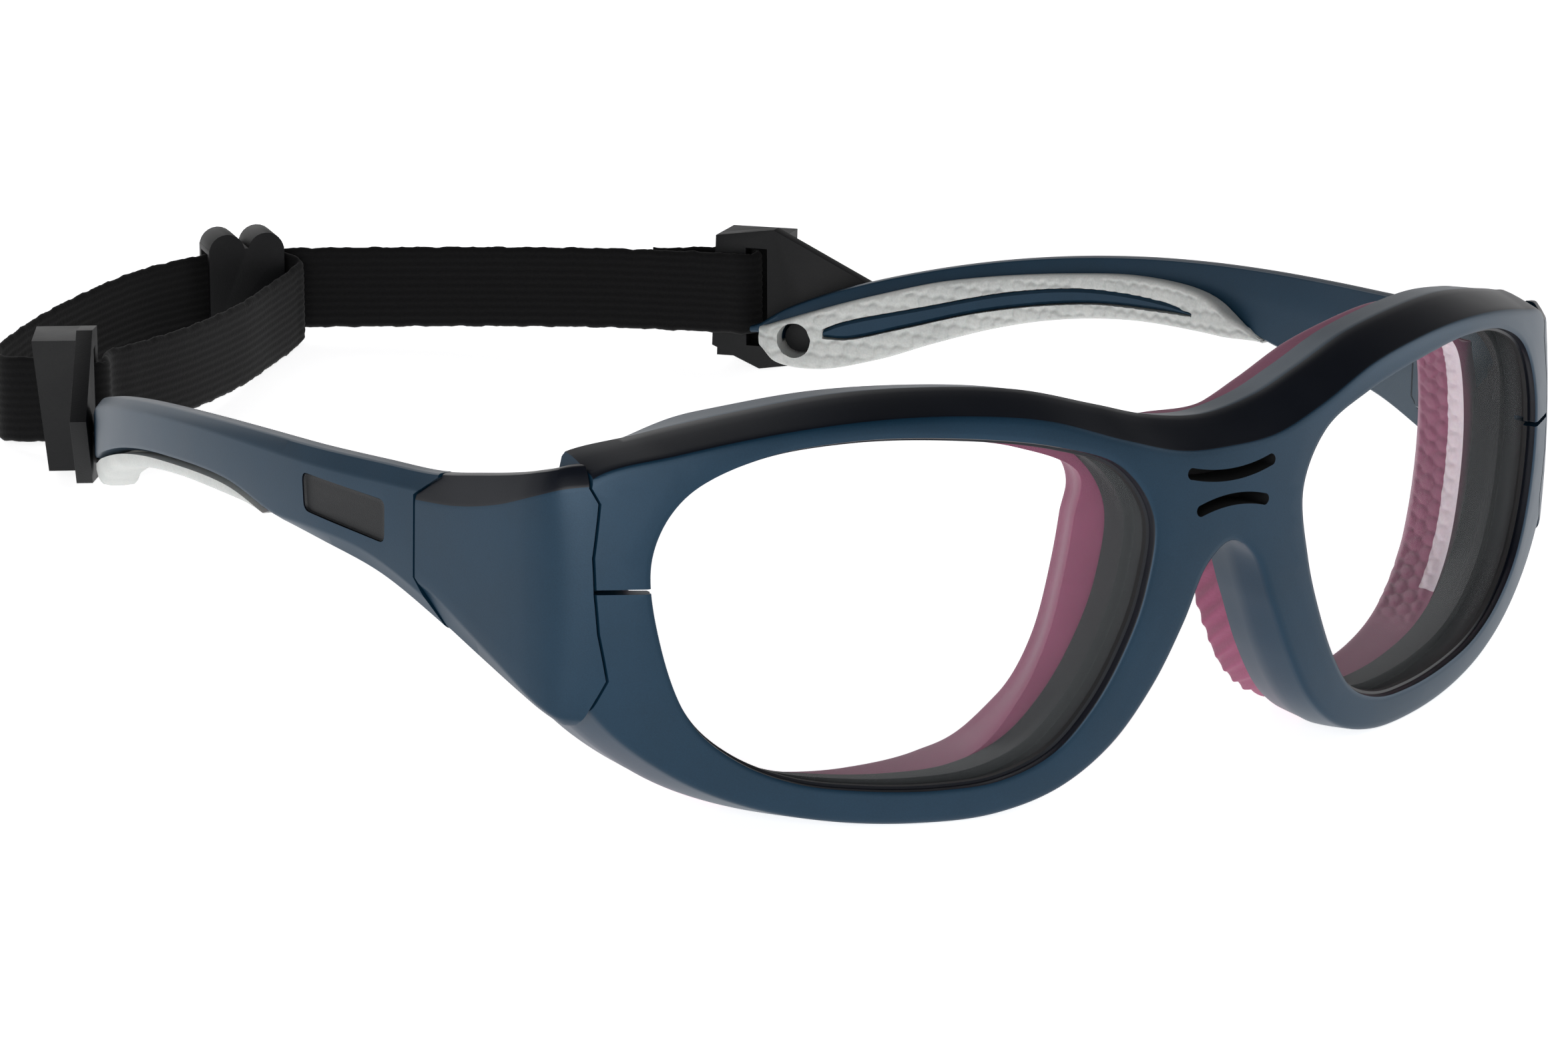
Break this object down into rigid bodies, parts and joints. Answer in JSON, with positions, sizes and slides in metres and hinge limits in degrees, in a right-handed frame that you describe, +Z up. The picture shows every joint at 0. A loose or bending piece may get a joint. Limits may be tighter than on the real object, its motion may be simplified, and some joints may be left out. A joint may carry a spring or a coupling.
{
  "type": "sports protective goggles",
  "caption": "Wraparound sports protective goggles: clear lenses, soft face pad, folding temples with soft grips and an elastic head strap on swivelling clips with a slider.",
  "frame": {"origin": "on the table the goggles stand on, under the middle of their overall box", "axes": "+X towards the wearer's left, the lenses face -Y and the strap is at +Y, +Z up; the temples slope down 5.5 degrees towards the strap"},
  "size_m": [0.1366, 0.1812, 0.0425],
  "materials": {
    "frame_blue": "satin pearlescent petrol blue, darker on the top bevel",
    "pad_pink": "soft matt moulded pink elastomer",
    "lens_clear": "clear polished polycarbonate",
    "screw_steel": "plain steel",
    "hinge_black": "matt black",
    "badge_grey": "satin dark grey, blank",
    "grip_white": "soft white elastomer with a fine pebbled texture",
    "clip_black": "matt black moulded nylon",
    "strap_black": "black woven elastic"
  },
  "bodies": {
    "front": {"front_frame": "frame_blue", "face_pad": "pad_pink", "lens_left": "lens_clear", "lens_right": "lens_clear", "rim_screw_left": "screw_steel", "rim_screw_right": "screw_steel", "hinge_block_left": "hinge_black", "hinge_block_right": "hinge_black", "hinge_screw_left": "screw_steel", "hinge_screw_right": "screw_steel", "strap_run": "strap_black", "strap_loop": "strap_black"},
    "temple_left": {"temple_flare_left": "frame_blue", "temple_arm_left": "frame_blue", "badge_plate_left": "badge_grey", "temple_grip_left": "grip_white"},
    "temple_right": {"temple_flare_right": "frame_blue", "temple_arm_right": "frame_blue", "badge_plate_right": "badge_grey", "temple_grip_right": "grip_white"},
    "clip_left": {"strap_clip_left": "clip_black"},
    "clip_right": {"strap_clip_right": "clip_black"},
    "slider": {"strap_slider": "clip_black"}
  },
  "joints": [
    {"name": "temple_left_fold", "type": "hinge", "parent": "front", "child": "temple_left", "pos_m": [0.0602, -0.05573, 0.02328], "axis": [0.0698, 0.0956, 0.993], "range_deg": [0, 62], "deforming": ["strap_run", "strap_loop"]},
    {"name": "temple_right_fold", "type": "hinge", "parent": "front", "child": "temple_right", "pos_m": [-0.0602, -0.05573, 0.02328], "axis": [-0.0698, -0.0956, -0.993], "range_deg": [0, 73], "deforming": ["strap_run", "strap_loop"]},
    {"name": "clip_left_swivel", "type": "hinge", "parent": "temple_left", "child": "clip_left", "pos_m": [0.04975, 0.04238, 0.00539], "axis": [0.8255, 0.5617, -0.0541], "range_deg": [-25, 8], "deforming": ["strap_run"]},
    {"name": "clip_right_swivel", "type": "hinge", "parent": "temple_right", "child": "clip_right", "pos_m": [-0.04975, 0.04238, 0.00539], "axis": [0.8255, -0.5617, 0.0541], "range_deg": [-25, 8], "deforming": ["strap_loop"]},
    {"name": "slider_slide", "type": "slide", "parent": "front", "child": "slider", "axis": [0.9397, -0.3404, 0.0328], "range_m": [-0.004, 0.004], "deforming": ["strap_run", "strap_loop"]}
  ]
}
